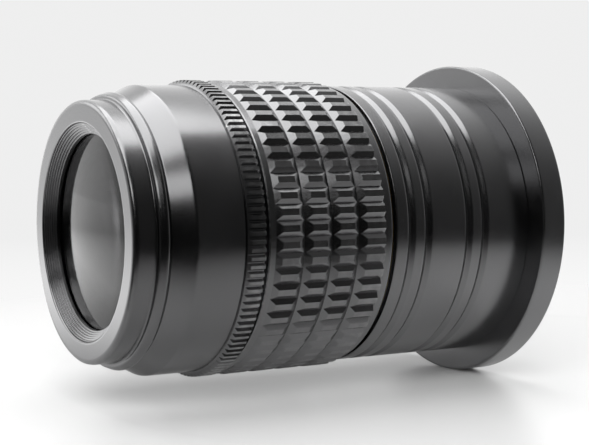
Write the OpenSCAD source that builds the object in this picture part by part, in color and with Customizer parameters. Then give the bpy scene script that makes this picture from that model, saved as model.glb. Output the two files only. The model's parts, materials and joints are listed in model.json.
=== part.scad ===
// Ultraviolet lens: a long-focus camera lens on a plain round flange.
// Every turned piece is drawn standing on the mounting face, front upwards,
// and laid over so that the front looks along -Y.

/* [Mount flange] */
// How far the flange's rim stands out beyond the rear barrel
flange_lip = 5.85; // [5:0.05:10]
// Thickness of the flange
flange_t = 6.9; // [6:0.1:10]
// Chamfer on the front edge of the flange rim
flange_chamfer = 0.45; // [0.2:0.05:1]
// How far the opening at the camera side lies inside the rear barrel's outside
throat_inset = 14.5; // [11:0.5:17]
// Chamfer round the opening
throat_chamfer = 0.8; // [0.3:0.1:1.5]
// Number of tapped holes for the camera's screws
tapped_count = 4; // [3:1:8]
// Distance of the tapped holes from the flange's rim
tapped_inset = 3.25; // [2.8:0.05:3.5]
// Radius of a tapped hole's wall
tapped_r = 1.25; // [0.8:0.05:1.6]
// Depth of a tapped hole
tapped_depth = 5; // [3:0.1:5.5]
// Number of screws that hold the flange to the rear barrel
flange_screw_count = 4; // [3:1:6]
// Radius of a flange screw's shank
flange_screw_r = 1; // [0.7:0.05:1.2]
// Length of a flange screw with its head
flange_screw_len = 10.5; // [9:0.1:11.5]

/* [Rear barrel] */
// Radius of the rear barrel, which every other radius follows
barrel_r = 35.5; // [32:0.05:42]
// Length of the rear barrel that shows
rear_barrel_len = 40; // [38:0.1:46]
// Depth of a turned groove
groove_depth = 0.65; // [0.3:0.05:0.9]
// Half of a turned groove's width
groove_half_w = 1.13; // [0.6:0.01:1.5]
// Distance from the barrel's front edge to the first groove
groove_first = 4.35; // [3:0.05:6]
// Distance between the two grooves of a pair
groove_pair_gap = 4.9; // [4:0.05:6]
// Distance from the first pair of grooves to the second
groove_pair_step = 17.1; // [14:0.1:20]
// Length of the thick rear end that takes the flange screws
rear_land_len = 5; // [4:0.1:7]
// Length of the wide bore that takes the focus bearing
bearing_bore_len = 8.1; // [7:0.1:10]
// Thickness of the dark baffle behind the rear lens
rear_baffle_t = 1.4; // [1:0.1:2.5]
// How far the baffle reaches inside the camera side's opening
rear_baffle_reach = 1; // [0:0.1:3]

/* [Focus ring] */
// Gap between the rear barrel and the focus ring
rear_gap = 1.2; // [0.8:0.05:1.6]
// Length of the focus ring
focus_len = 33.5; // [32.5:0.1:36]
// Width of the plain rim at the rear of the focus ring
rim_len = 2.5; // [2:0.1:4]
// How far the blocks' tops stand above the rear barrel
grip_rise = 0.92; // [0.75:0.01:1.2]
// Depth of the grooves along the grip
grip_groove_depth = 0.78; // [0.5:0.02:0.8]
// Depth of the grooves round the grip
grip_ring_depth = 0.97; // [0.75:0.01:1.1]
// Number of blocks round the grip
grip_count = 60; // [48:2:72]
// Share of the pitch that a block's top takes
grip_top_share = 0.4; // [0.3:0.02:0.6]
// Slope of the grip's ring grooves in degrees
grip_slope = 29; // [25:1:40]
// Distance from the grip's front edge to the first ring groove
grip_first_ring = 9.25; // [8:0.05:10]
// Distance between the ring grooves
grip_ring_pitch = 7.39; // [7:0.01:7.6]
// Width of the plain land at the grip's front
grip_land = 1.65; // [1.2:0.05:2.2]
// Wall of the grip sleeve under its grooves
grip_wall = 1.5; // [1.2:0.05:1.7]
// Thickness of the focus ring's skirt inside the rear barrel
skirt_wall = 0.8; // [0.6:0.05:0.9]
// How far the lip stands out from the skirt
lip_rise = 0.65; // [0.5:0.05:0.75]
// Length of the lip that holds the focus ring in
lip_len = 2; // [1.5:0.1:3]
// Turn of the focus ring in degrees
focus_turn_deg = 180; // [120:5:200]

/* [Front group] */
// Travel of the front group over the whole turn
focus_travel = 12; // [8:0.5:14]
// Gap between the focus ring and the aperture ring
front_gap = 1.2; // [1:0.05:1.6]
// How far the sliding tube's outside lies inside the rear barrel's outside
slide_tube_inset = 3.1; // [3:0.05:3.3]
// Wall of the sliding tube
slide_tube_wall = 1.5; // [1.2:0.05:1.6]
// How far the front barrel lies inside the rear barrel's outside
front_barrel_drop = 0.45; // [0.3:0.05:0.7]
// Length of the front barrel's plain part
front_barrel_len = 11.9; // [11:0.1:16]
// Length of the front barrel's cone
cone_len = 5; // [4.6:0.1:6]
// How far the cone falls towards its small end
cone_fall = 2.75; // [2.4:0.05:3]
// Thickness of the wall across the front barrel
web_t = 4; // [3:0.1:5]
// Length of the screwed joint between front barrel and filter ring
joint_len = 4; // [3:0.1:5]
// Wall of the front barrel round that screwed joint
joint_wall = 2.7; // [2.1:0.1:3.2]

/* [Filter ring] */
// How far the collar's edge stands above the cone's small end
collar_rise = 0.9; // [0.7:0.05:1.3]
// How far the collar falls towards its front
collar_fall = 0.7; // [0.4:0.05:1]
// Length of the collar's rear bevel
collar_back_len = 0.9; // [0.6:0.05:1.2]
// Width of the collar's edge
collar_edge = 0.5; // [0.3:0.05:0.8]
// Length of the collar's front cone
collar_cone_len = 1.65; // [1.2:0.05:2]
// Step from the collar down to the front ring
front_ring_drop = 1.15; // [0.6:0.05:1.7]
// Length of the front ring
front_ring_len = 5.55; // [5:0.05:8]
// Radius of the rounding on the front ring's edge
front_round = 0.9; // [0.3:0.05:1.2]
// Wall of the front ring round its mouth
front_ring_wall = 5.35; // [5:0.05:5.6]
// Depth from the mouth's edge down to the ridged ring's inner edge
ridge_drop = 2.64; // [2:0.02:3]
// Number of ridges on the ridged ring
ridge_count = 6; // [3:1:8]
// Depth of the ring from its inner edge to the front glass
ridge_ring_depth = 1.06; // [0.8:0.02:2]

/* [Optics] */
// How far the ridges reach in from the mouth to the front glass that shows
ridge_run = 2.58; // [2.5:0.02:5]
// Width of the seat round each piece of glass
seat_w = 1.2; // [0.8:0.05:1.4]
// Width of the flat rim on each face of a glass
glass_rim = 0.6; // [0.4:0.05:0.8]
// Thickness of each piece of glass at its edge
glass_edge = 4; // [3:0.1:4.4]
// Radius of curvature of the front glass
front_curve_r = 140; // [110:1:200]
// Radius of curvature of the inner glasses
inner_curve_r = 60; // [48:1:120]
// How much smaller the second glass is than the front one
second_drop = 4.12; // [3.6:0.02:6]
// How much smaller the third glass is than the second
third_drop = 3.5; // [3:0.1:5]
// How much smaller the fourth and fifth glasses are than the third
rear_pair_drop = 1.5; // [1:0.1:3]
// How much larger the rear glass is than the two before it
rear_glass_rise = 2.5; // [1:0.1:3]
// Length of the ring between the front and second glasses
front_spacer_len = 4.38; // [3:0.02:5]
// Length of the tube between the fourth and fifth glasses
pair_spacer_len = 5; // [3:0.1:8]
// Length of the tube between the fifth and rear glasses
rear_spacer_len = 10; // [6:0.1:14]
// Wall of the rear lens tube
rear_cell_wall = 1.8; // [1.2:0.1:2.5]
// Length of a ring that holds a glass in its tube
keeper_len = 1.6; // [1:0.1:2.5]

/* [Aperture] */
// How far the aperture ring's teeth stand above the rear barrel
knurl_rise = 0.89; // [0.75:0.01:1.1]
// Depth of the aperture ring's teeth
knurl_depth = 0.72; // [0.4:0.02:0.9]
// Number of teeth on the aperture ring
knurl_count = 120; // [90:2:132]
// Share of the pitch that a tooth's top takes
knurl_top_share = 0.4; // [0.3:0.02:0.5]
// Share of the pitch that the floor between two teeth takes
knurl_floor_share = 0.14; // [0.06:0.02:0.3]
// Length of the aperture ring
knurl_len = 4.58; // [4.4:0.02:5]
// Length of the aperture ring's front bevel
knurl_bevel = 0.84; // [0.6:0.02:1]
// Turn of the aperture ring in degrees
aperture_turn_deg = 40; // [30:1:40]
// Number of iris blades
blade_count = 8; // [6:1:8]
// Thickness of an iris blade
blade_t = 0.4; // [0.25:0.05:0.45]
// Distance from one blade's level to the next
blade_level = 0.6; // [0.5:0.02:0.65]
// Width of an iris blade
blade_w = 6.7; // [6:0.1:7.5]
// Distance from the blade pivots in to the outer edge of an open blade
blade_inset = 2.9; // [2.7:0.1:4]
// Angle that one blade spans
blade_span = 100; // [80:1:110]
// Turn of each blade from open to closed
blade_turn_deg = 28; // [22:1:29]
// Distance from the iris housing's wall in to the blade pivots
pivot_inset = 5; // [4.7:0.05:5.2]
// Distance from a blade's pivot to its drive pin
drive_arm = 3.2; // [3:0.1:3.6]
// Radius of the blades' pins
blade_pin_r = 0.55; // [0.4:0.05:0.6]
// Thickness of the iris drive ring
drive_ring_t = 2; // [1.6:0.1:2.4]
// Thickness of the iris housing's plates
iris_plate_t = 1.6; // [1.4:0.1:2]
// Distance from the sliding tube's bore in to the iris housing's inside
iris_room_inset = 3.4; // [3:0.1:3.6]
// Wall of the iris housing
iris_wall = 1.5; // [1:0.1:1.8]
// Radius of the pin that turns the iris
drive_pin_r = 1; // [0.7:0.05:1.1]
// Radius of the click ball
ball_r = 0.75; // [0.5:0.05:0.8]
// Number of click stops
stop_count = 8; // [5:1:9]

/* [Guides and clearances] */
// Number of guide keys
key_count = 3; // [2:1:4]
// Distance from the sliding tube's rear end to the keys
key_inset = 1; // [0.5:0.1:2]
// Width of a guide key
key_w = 4; // [3:0.1:5]
// Length of a guide key
key_len = 6; // [4:0.1:7]
// Wall of the fixed guide tube
guide_wall = 1.3; // [1:0.1:1.6]
// Thickness of the guide tube's foot on the rear barrel
guide_foot_t = 2; // [1.5:0.1:3]
// Length of the guide tube beyond its slots
guide_bridge = 18; // [8:0.5:20]
// How far the sliding tube reaches back from the focus ring's rear end
slide_tube_tail = 9; // [7:0.1:10]
// Running clearance of turning and sliding fits
run_fit = 0.08; // [0.05:0.01:0.1]
// Clearance between pieces that pass each other
free_gap = 0.3; // [0.25:0.05:0.35]
// Clearance between flat pieces that turn against each other
flat_gap = 0.2; // [0.15:0.05:0.25]
// Small chamfer on turned edges
edge_chamfer = 0.25; // [0.15:0.05:0.3]

/* [Hidden] */
$fn = 96;
face_steps = 12;
EPS = 0.01;
CUT = 1;
ring_gap = 0.15;

// Heights above the mounting face, from the camera side forwards
rear_barrel_top = flange_t + rear_barrel_len;
focus_base = rear_barrel_top + rear_gap;
focus_top = focus_base + focus_len;
grip_base = focus_base + rim_len;
knurl_base = focus_top + front_gap;
knurl_top = knurl_base + knurl_len;
front_barrel_base = knurl_top + ring_gap;
cone_base = front_barrel_base + front_barrel_len;
cone_top = cone_base + cone_len;
collar_base = cone_top + collar_back_len;
collar_cone_base = collar_base + collar_edge;
front_ring_base = collar_cone_base + collar_cone_len;
lens_len = front_ring_base + front_ring_len;
ridge_lip = lens_len - ridge_drop;
glass_top = ridge_lip - ridge_ring_depth;
joint_base = cone_top - joint_len;
web_base = joint_base - web_t;

// Outside radii, all from the rear barrel's
flange_r = barrel_r + flange_lip;
tapped_circle_r = flange_r - tapped_inset;
throat_r = barrel_r - throat_inset;
rear_baffle_open_r = throat_r - rear_baffle_reach;
grip_r = barrel_r + grip_rise;
knurl_r = barrel_r + knurl_rise;
front_barrel_r = barrel_r - front_barrel_drop;
cone_small_r = front_barrel_r - cone_fall;
joint_r = cone_small_r - joint_wall;
collar_r = cone_small_r + collar_rise;
collar_front_r = collar_r - collar_fall;
front_ring_r = collar_front_r - front_ring_drop;
mouth_r = front_ring_r - front_ring_wall;
front_clear_r = mouth_r - ridge_run;

// Radii and heights of what slides and turns inside
slide_tube_r = barrel_r - slide_tube_inset;
slide_bore_r = slide_tube_r - slide_tube_wall;
rear_land_bore_r = slide_bore_r;
guide_tube_r = slide_bore_r - free_gap;
guide_bore_r = guide_tube_r - guide_wall;
barrel_bore_r = slide_tube_r + free_gap;
focus_bore_r = slide_tube_r + run_fit;
skirt_r = focus_bore_r + skirt_wall;
lip_r = skirt_r + lip_rise;
bearing_bore_r = lip_r + run_fit;
land_r = grip_r - grip_groove_depth;
grip_bore_r = land_r - grip_wall;
bearing_bore_base = rear_barrel_top - bearing_bore_len;
lip_base = bearing_bore_base + free_gap;
lip_top = lip_base + lip_len;
bearing_ring_base = lip_top + free_gap;
rear_land_top = flange_t + rear_land_len;
slide_tube_base = lip_base - slide_tube_tail;
key_base = slide_tube_base + key_inset;
guide_slot_top = key_base + key_len + focus_travel + CUT;
guide_top = guide_slot_top + guide_bridge;
groove_heights = [for (pair = [0, 1], side = [0, 1])
    rear_barrel_top - groove_first - pair * groove_pair_step - side * groove_pair_gap];
ring_grooves = [for (i = [0:2]) focus_top - grip_first_ring - i * grip_ring_pitch];

// Iris stack, from the housing's front plate back to the cover
front_seat_r = front_clear_r + seat_w;
second_r = front_seat_r - second_drop;
third_r = second_r - third_drop;
rear_pair_r = third_r - rear_pair_drop;
rear_glass_r = rear_pair_r + rear_glass_rise;
iris_room_r = slide_bore_r - iris_room_inset;
pivot_circle_r = iris_room_r - pivot_inset;
blade_out_r = pivot_circle_r - blade_inset;
blade_in_r = blade_out_r - blade_w;
housing_top = glass_top - 3 * glass_edge - front_spacer_len;
blade_top = housing_top - iris_plate_t - flat_gap;
drive_ring_top = blade_top - blade_count * blade_level - flat_gap;
drive_ring_base = drive_ring_top - drive_ring_t;
cover_top = drive_ring_base - free_gap;
cover_base = cover_top - iris_plate_t;
drive_ring_out_r = iris_room_r - run_fit;
iris_open_r = blade_in_r - free_gap;
housing_r = iris_room_r + iris_wall;
drive_pin_h = (drive_ring_base + drive_ring_top) / 2;
slot_clear = 0.15;
drive_pin_angle = 100;
detent_angle = -60;
detent_r = (slide_tube_r + front_barrel_r) / 2;

// Stack of the rear lens tube, from the iris cover back
rear_cell_front_t = 2;
fourth_top = cover_base - rear_cell_front_t;
fifth_top = fourth_top - glass_edge - pair_spacer_len;
rear_glass_top = fifth_top - glass_edge - rear_spacer_len;
rear_keeper_top = rear_glass_top - glass_edge;
rear_cell_base = rear_keeper_top - keeper_len;
rear_cell_r = rear_glass_r + rear_cell_wall;

// Lays a standing piece over, front towards -Y
module laid() {
    rotate([90, 0, 0]) children();
}

// Solid of revolution from [radius, height] points
module turned(points) {
    rotate_extrude() polygon(points);
}

// Plain ring between two radii and two heights
module ring(inner, outer, base, top) {
    turned([[inner, base], [outer, base], [outer, top], [inner, top]]);
}

// Sector of a ring, used for arc slots and blades
module ring_sector(inner, outer, base, top, from, span) {
    rotate([0, 0, from])
        rotate_extrude(angle = span)
            polygon([[inner, base], [outer, base], [outer, top], [inner, top]]);
}

// Copies evenly spaced round the axis
module around(count, start = 0) {
    for (i = [0:count - 1])
        rotate([0, 0, start + i * 360 / count]) children();
}

// Cylinder along a radius, from one radius to another
module radial_pin(radius, inner, outer, height) {
    translate([inner, 0, height])
        rotate([0, 90, 0])
            cylinder(r = radius, h = outer - inner);
}

// How far a curved face rises above its edge at a distance from the axis
function face_rise(r, face_r, curve) =
    sign(curve) * (sqrt(pow(curve, 2) - pow(r, 2)) - sqrt(pow(curve, 2) - pow(face_r, 2)));

// Glass with a flat rim, whose faces bulge where the curve is positive and are hollow where negative
module glass(radius, top, edge, front, back) {
    face_r = radius - glass_rim;
    color("lightsteelblue", 0.4) laid() turned(concat(
        [for (i = [0:face_steps]) let (r = face_r * i / face_steps) [r, top + face_rise(r, face_r, front)]],
        [[radius, top], [radius, top - edge]],
        [for (i = [face_steps:-1:0]) let (r = face_r * i / face_steps)
            [r, top - edge - face_rise(r, face_r, back)]]
    ));
}

// Round plate that meets the camera
module mount_flange() {
    color("dimgray") laid() difference() {
        turned([
            [throat_r, throat_chamfer], [throat_r + throat_chamfer, 0], [flange_r - edge_chamfer, 0],
            [flange_r, edge_chamfer], [flange_r, flange_t - flange_chamfer],
            [flange_r - flange_chamfer, flange_t], [throat_r, flange_t]
        ]);
        around(tapped_count, 45)
            translate([tapped_circle_r, 0, -EPS])
                cylinder(r = tapped_r, h = tapped_depth + EPS);
        around(flange_screw_count) flange_screw_shape(screw_play);
    }
}

flange_screw_circle_r = (rear_land_bore_r + barrel_r) / 2;
flange_head_r = 1.9 * flange_screw_r;
screw_play = 0.12;
screw_sink = 0.1;
screw_slot_w = 0.4;
screw_slot_t = 0.6;

// Countersunk screw standing on its head, or the hole that it fits where some play is given
module flange_screw_shape(play) {
    head_h = flange_head_r - flange_screw_r;
    translate([flange_screw_circle_r, 0, play > 0 ? 0 : screw_sink]) {
        cylinder(r = flange_screw_r + play, h = flange_screw_len + play);
        cylinder(r1 = flange_head_r + play, r2 = flange_screw_r + play, h = head_h);
        if (play > 0)
            translate([0, 0, -EPS]) cylinder(r = flange_head_r + play, h = 2 * EPS);
    }
}

module flange_screws() {
    color("gray") laid() around(flange_screw_count) difference() {
        flange_screw_shape(0);
        for (turn = [0, 90])
            translate([flange_screw_circle_r, 0, 0])
                rotate([0, 0, turn])
                    translate([-screw_slot_w / 2, -flange_head_r, -CUT])
                        cube([screw_slot_w, 2 * flange_head_r, CUT + screw_slot_t]);
    }
}

// Fixed barrel with two pairs of turned grooves
module rear_barrel() {
    color("dimgray") laid() difference() {
        turned([
            [rear_land_bore_r, flange_t], [barrel_r, flange_t],
            [barrel_r, rear_barrel_top - edge_chamfer], [barrel_r - edge_chamfer, rear_barrel_top],
            [bearing_bore_r, rear_barrel_top], [bearing_bore_r, bearing_bore_base],
            [barrel_bore_r, bearing_bore_base], [barrel_bore_r, rear_land_top],
            [rear_land_bore_r, rear_land_top]
        ]);
        for (h = groove_heights)
            turned([
                [barrel_r - groove_depth, h], [barrel_r + groove_depth, h - 2 * groove_half_w],
                [barrel_r + groove_depth, h + 2 * groove_half_w]
            ]);
        around(flange_screw_count) flange_screw_shape(screw_play);
        rotate([0, 0, 180])
            radial_pin(stop_pin_r, bearing_bore_r - CUT, stop_pin_out_r, stop_pin_h);
    }
}

baffle_edge_t = 0.3;

// Dark ring that stops stray light behind the rear glass
module rear_baffle() {
    color("black") laid() turned([
        [rear_baffle_open_r, flange_t + rear_baffle_t / 2], [rear_land_bore_r, flange_t],
        [rear_land_bore_r, flange_t + rear_baffle_t],
        [rear_baffle_open_r, flange_t + rear_baffle_t / 2 + baffle_edge_t]
    ]);
}

// Fixed tube whose straight slots keep the front group from turning
module guide_tube() {
    color("darkgray") laid() difference() {
        turned([
            [guide_bore_r, rear_land_top], [barrel_bore_r, rear_land_top],
            [barrel_bore_r, rear_land_top + guide_foot_t], [guide_tube_r, rear_land_top + guide_foot_t],
            [guide_tube_r, guide_top], [guide_bore_r, guide_top]
        ]);
        around(key_count)
            translate([guide_bore_r - CUT, -key_w / 2 - run_fit, key_base - CUT])
                cube([guide_wall + 2 * CUT, key_w + 2 * run_fit, guide_slot_top - key_base + CUT]);
    }
}

// Ring that keeps the focus ring's lip inside the rear barrel
module focus_bearing_ring() {
    color("goldenrod") laid()
        ring(skirt_r + run_fit, bearing_bore_r, bearing_ring_base, rear_barrel_top);
}

stop_pin_r = 0.8;
stop_pin_h = (lip_base + lip_top) / 2;
stop_pin_hold = 0.6;
stop_pin_out_r = bearing_bore_r + stop_pin_hold;

// Pin that stops the focus ring at both ends of its turn
module focus_stop_pin() {
    color("silver") laid() rotate([0, 0, 180])
        radial_pin(stop_pin_r, skirt_r + flat_gap, stop_pin_out_r, stop_pin_h);
}

// Ring that the hand turns, under its grip, with the gap in its lip that the stop pin runs in
module focus_ring() {
    lip_gap_end = 180 + stop_margin_deg;
    lip_gap = focus_turn_deg + 2 * stop_margin_deg;
    color("dimgray") laid() {
        turned([
            [focus_bore_r, lip_base], [skirt_r, lip_base],
            [skirt_r, focus_base], [barrel_r - edge_chamfer, focus_base],
            [barrel_r, focus_base + edge_chamfer],
            [barrel_r, grip_base], [grip_bore_r, grip_base],
            [grip_bore_r, focus_top - free_gap], [focus_bore_r, focus_top - free_gap]
        ]);
        ring_sector(focus_bore_r + skirt_wall / 2, lip_r, lip_base, lip_top, lip_gap_end, 360 - lip_gap);
    }
}

stop_margin_deg = 5;
cut_reach = 0.5;
valley_lift = 0.02;

// Sleeve of small blocks, cut by grooves round it and along it
module focus_grip() {
    run = (grip_r - land_r) / tan(grip_slope);
    land_base = focus_top - grip_land;
    half_top = 180 / grip_count * grip_top_share;
    half_pitch = 180 / grip_count;
    valley_r = land_r + valley_lift;
    edge = [for (side = [-1, 1])
        [grip_r * cos(half_pitch - half_top), side * grip_r * sin(half_pitch - half_top)]];
    slope = (edge[0][0] - valley_r) / edge[1][1];
    valley_mouth = (grip_r + cut_reach - valley_r) / slope;
    ring_mouth = (grip_ring_depth + cut_reach) / tan(grip_slope);
    color("dimgray") laid() difference() {
        turned([
            [grip_bore_r, grip_base], [grip_r, grip_base], [grip_r, land_base - run],
            [land_r, land_base], [land_r, focus_top - edge_chamfer], [land_r - edge_chamfer, focus_top],
            [grip_bore_r, focus_top]
        ]);
        for (h = ring_grooves)
            turned([
                [grip_r - grip_ring_depth, h],
                [grip_r + cut_reach, h - ring_mouth], [grip_r + cut_reach, h + ring_mouth]
            ]);
        around(grip_count)
            translate([0, 0, grip_base - CUT])
                linear_extrude(height = focus_top - grip_base + 2 * CUT)
                    polygon([
                        [valley_r, 0], [grip_r + cut_reach, -valley_mouth],
                        [grip_r + cut_reach, valley_mouth]
                    ]);
    }
}

// Tube that slides along the axis and carries the whole front group
module slide_tube() {
    color("silver") laid() difference() {
        ring(slide_bore_r, slide_tube_r, slide_tube_base, web_base);
        drive_pin_slot(slide_bore_r, slide_tube_r);
        around(key_count) radial_pin(key_screw_r, slide_bore_r - CUT, slide_tube_r + CUT, key_screw_h);
    }
}

// Slot through a wall for the whole turn of the iris drive pin
module drive_pin_slot(inner, outer) {
    half_h = drive_pin_r + free_gap;
    ring_sector(inner - CUT, outer + CUT, drive_pin_h - half_h, drive_pin_h + half_h,
        drive_pin_angle - slot_end_deg, aperture_turn_deg + 2 * slot_end_deg);
}

slot_end_deg = 4;

key_screw_r = 0.8;
key_screw_h = key_base + key_len / 2;

// Keys under the sliding tube, one in each slot of the guide tube
module guide_keys() {
    color("goldenrod") laid() around(key_count) difference() {
        intersection() {
            translate([guide_bore_r + flat_gap / 2, -key_w / 2, key_base])
                cube([slide_bore_r - guide_bore_r, key_w, key_len]);
            cylinder(r = slide_bore_r, h = lens_len);
        }
        radial_pin(key_screw_r, guide_bore_r - CUT, slide_tube_r, key_screw_h);
    }
}

module key_screws() {
    color("silver") laid() around(key_count)
        radial_pin(key_screw_r, guide_bore_r + free_gap, slide_tube_r - flat_gap, key_screw_h);
}

// Barrel between the aperture ring and the collar
module front_barrel() {
    color("dimgray") laid() difference() {
        turned([
            [slide_tube_r, front_barrel_base], [front_barrel_r, front_barrel_base],
            [front_barrel_r, cone_base], [cone_small_r, cone_top], [joint_r, cone_top],
            [joint_r, joint_base], [mouth_r, joint_base], [mouth_r, web_base],
            [slide_tube_r, web_base]
        ]);
        rotate([0, 0, detent_angle])
            translate([detent_r, 0, front_barrel_base - EPS])
                cylinder(r = ball_r + ball_play, h = click_room + EPS);
    }
}

click_room = 5;
ball_play = 0.05;
ball_h = knurl_top + run_fit + ball_r;

module click_ball() {
    color("silver") laid() rotate([0, 0, detent_angle])
        translate([detent_r, 0, ball_h]) sphere(r = ball_r);
}

// Spring behind the click ball, drawn as the tube that its coils fill
module click_spring() {
    color("silver") laid() rotate([0, 0, detent_angle])
        translate([detent_r, 0, ball_h + ball_r + ball_play])
            difference() {
                height = click_room - 2 * (ball_r + ball_play);
                cylinder(r = ball_r - ball_play, h = height);
                translate([0, 0, -CUT]) cylinder(r = ball_r / 2, h = height + 2 * CUT);
            }
}

// Front ring with its collar and its rounded edge
module filter_ring() {
    round_centre = [front_ring_r - front_round, lens_len - front_round];
    color("dimgray") laid() turned(concat(
        [
            [mouth_r, joint_base], [joint_r, joint_base], [joint_r, cone_top],
            [cone_small_r, cone_top], [collar_r, collar_base], [collar_r, collar_cone_base],
            [collar_front_r, front_ring_base], [front_ring_r, front_ring_base]
        ],
        [for (a = [0:15:90]) round_centre + front_round * [cos(a), sin(a)]],
        [[mouth_r, lens_len]]
    ));
}

// Ring with fine ridges, stepping down to the front glass that it holds
module ridged_ring() {
    step_r = (mouth_r - front_clear_r) / ridge_count;
    step_h = ridge_drop / ridge_count;
    color("black") laid() turned(concat(
        [[front_clear_r, glass_top], [mouth_r, glass_top]],
        [for (i = [0:ridge_count - 1], side = [0, 1])
            [mouth_r - (i + side) * step_r, lens_len - (i + 1) * step_h]]
    ));
}

cell_step_1 = glass_top - glass_edge - front_spacer_len;
cell_step_2 = cell_step_1 - glass_edge;

// Stepped tube that holds the three front glasses
module front_cell() {
    color("dimgray") laid() turned([
        [third_r, housing_top], [mouth_r, housing_top], [mouth_r, glass_top],
        [front_seat_r, glass_top], [front_seat_r, cell_step_1], [second_r, cell_step_1],
        [second_r, cell_step_2], [third_r, cell_step_2]
    ]);
}

module front_glass() {
    glass(front_seat_r, glass_top - free_gap, glass_edge - free_gap, front_curve_r, 3 * front_curve_r);
}

module front_spacer() {
    spacer_top = glass_top - glass_edge;
    color("black") laid() turned([
        [second_r - glass_rim, cell_step_1], [front_seat_r, cell_step_1],
        [front_seat_r, spacer_top], [front_seat_r - glass_rim, spacer_top],
        [second_r - glass_rim, cell_step_1 + front_spacer_len / 2]
    ]);
}

module second_glass() {
    glass(second_r, cell_step_1, glass_edge, 2 * inner_curve_r, -4 * inner_curve_r);
}

module third_glass() {
    glass(third_r, cell_step_2, glass_edge - keeper_len, -4 * inner_curve_r, -4 * inner_curve_r);
}

module third_glass_keeper() {
    color("black") laid()
        ring(third_r - keeper_w, third_r, housing_top, housing_top + keeper_len);
}

keeper_w = 2;

// Cup round the iris, with the blades' pivot holes in its front plate
module iris_housing() {
    color("dimgray") laid() difference() {
        turned([
            [iris_room_r, cover_base], [housing_r, cover_base], [housing_r, housing_top],
            [iris_open_r, housing_top], [iris_open_r, housing_top - iris_plate_t],
            [iris_room_r, housing_top - iris_plate_t]
        ]);
        around(blade_count)
            translate([pivot_circle_r, 0, housing_top - iris_plate_t - EPS])
                cylinder(r = blade_pin_r + run_fit, h = pivot_depth + EPS);
        drive_pin_slot(iris_room_r, housing_r);
    }
}

pivot_depth = 1.1;

// Plate that closes the iris housing
module iris_cover() {
    color("dimgray") laid() ring(iris_open_r, iris_room_r, cover_base, cover_top);
}

// Place of a blade's drive pin when the blade has turned by an angle
function drive_pin_place(angle) =
    [pivot_circle_r + drive_arm * sin(angle), -drive_arm * cos(angle)];

// The same place seen from the drive ring, which turns with the aperture ring
function cam_place(share) =
    let (place = drive_pin_place(share * blade_turn_deg), back = -share * aperture_turn_deg)
    [place[0] * cos(back) - place[1] * sin(back), place[0] * sin(back) + place[1] * cos(back)];

// Point beside the cam's middle line
function cam_side(share, distance) =
    let (along = cam_place(share + 0.01) - cam_place(share - 0.01), size = norm(along))
    cam_place(share) + distance * [-along[1], along[0]] / size;

// Ring whose cam slots push the blades' drive pins
module iris_drive_ring() {
    half_w = blade_pin_r + slot_clear;
    steps = 10;
    cam_outline = concat(
        [for (i = [0:steps]) cam_side(i / steps, half_w)],
        [for (i = [steps:-1:0]) cam_side(i / steps, -half_w)]
    );
    color("silver") laid() difference() {
        ring(iris_open_r + drive_ring_step, drive_ring_out_r, drive_ring_base, drive_ring_top);
        around(blade_count) {
            translate([0, 0, drive_ring_base - CUT])
                linear_extrude(height = drive_ring_t + 2 * CUT) polygon(cam_outline);
            for (end = [0, 1])
                translate([cam_place(end)[0], cam_place(end)[1], drive_ring_base - CUT])
                    cylinder(r = half_w, h = drive_ring_t + 2 * CUT);
        }
        rotate([0, 0, drive_pin_angle])
            radial_pin(drive_pin_r * drive_hole_share, drive_pin_in_r, drive_ring_out_r + CUT, drive_pin_h);
    }
}

drive_ring_step = 1;
drive_hole_share = 0.7;
drive_pin_in_r = iris_room_r - 2;
drive_pin_hold = 1.5;

// Pin from the aperture ring through both slots to the drive ring
module iris_drive_pin() {
    color("silver") laid() rotate([0, 0, drive_pin_angle]) {
        radial_pin(drive_pin_r, iris_room_r + flat_gap, slide_tube_r + drive_pin_hold, drive_pin_h);
        radial_pin(drive_pin_r * drive_hole_share, drive_pin_in_r, iris_room_r + free_gap, drive_pin_h);
    }
}

// One iris blade, open, at its own level
module iris_blade(index) {
    top = blade_top - (index - 1) * blade_level;
    base = top - blade_t;
    pin = drive_pin_place(0);
    tab_r = blade_pin_r + tab_wall;
    tab_in_r = blade_out_r - tab_root;
    color("dimgray") laid() rotate([0, 0, (index - 1) * 360 / blade_count]) {
        ring_sector(blade_in_r, blade_out_r, base, top, -3, blade_span);
        translate([0, 0, base]) linear_extrude(height = blade_t) polygon([
            [tab_in_r, -1], [pivot_circle_r - tab_wall / 2, pin[1] - tab_r + tab_cut],
            [pin[0] + tab_r - tab_cut, pin[1] - tab_r + 2 * tab_cut],
            [pivot_circle_r + tab_r, tab_cut], [pivot_circle_r, tab_r], [tab_in_r, 2 * tab_root]
        ]);
        translate([pivot_circle_r, 0, base])
            cylinder(r = blade_pin_r, h = housing_top - iris_plate_t + pivot_depth - run_fit - base);
        translate([pin[0], pin[1], drive_ring_base + flat_gap])
            cylinder(r = blade_pin_r, h = top - drive_ring_base - flat_gap);
    }
}

tab_wall = 0.6;
tab_cut = 0.25;
tab_root = 1.5;
cell_lip = 1;

// Tube behind the iris that holds the three rear glasses
module rear_cell() {
    color("dimgray") laid() turned([
        [rear_glass_r, rear_cell_base], [rear_cell_r, rear_cell_base],
        [rear_cell_r, cover_base - iris_plate_t], [housing_r, cover_base - iris_plate_t],
        [housing_r, cover_base], [rear_pair_r - cell_lip, cover_base],
        [rear_pair_r - cell_lip, fourth_top], [rear_pair_r, fourth_top],
        [rear_pair_r, rear_glass_top], [rear_glass_r, rear_glass_top]
    ]);
}

module fourth_glass() {
    glass(rear_pair_r, fourth_top, glass_edge, -2 * inner_curve_r, -2 * inner_curve_r);
}

module pair_spacer() {
    color("black") laid()
        ring(rear_pair_r - glass_rim, rear_pair_r, fifth_top, fourth_top - glass_edge);
}

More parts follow.
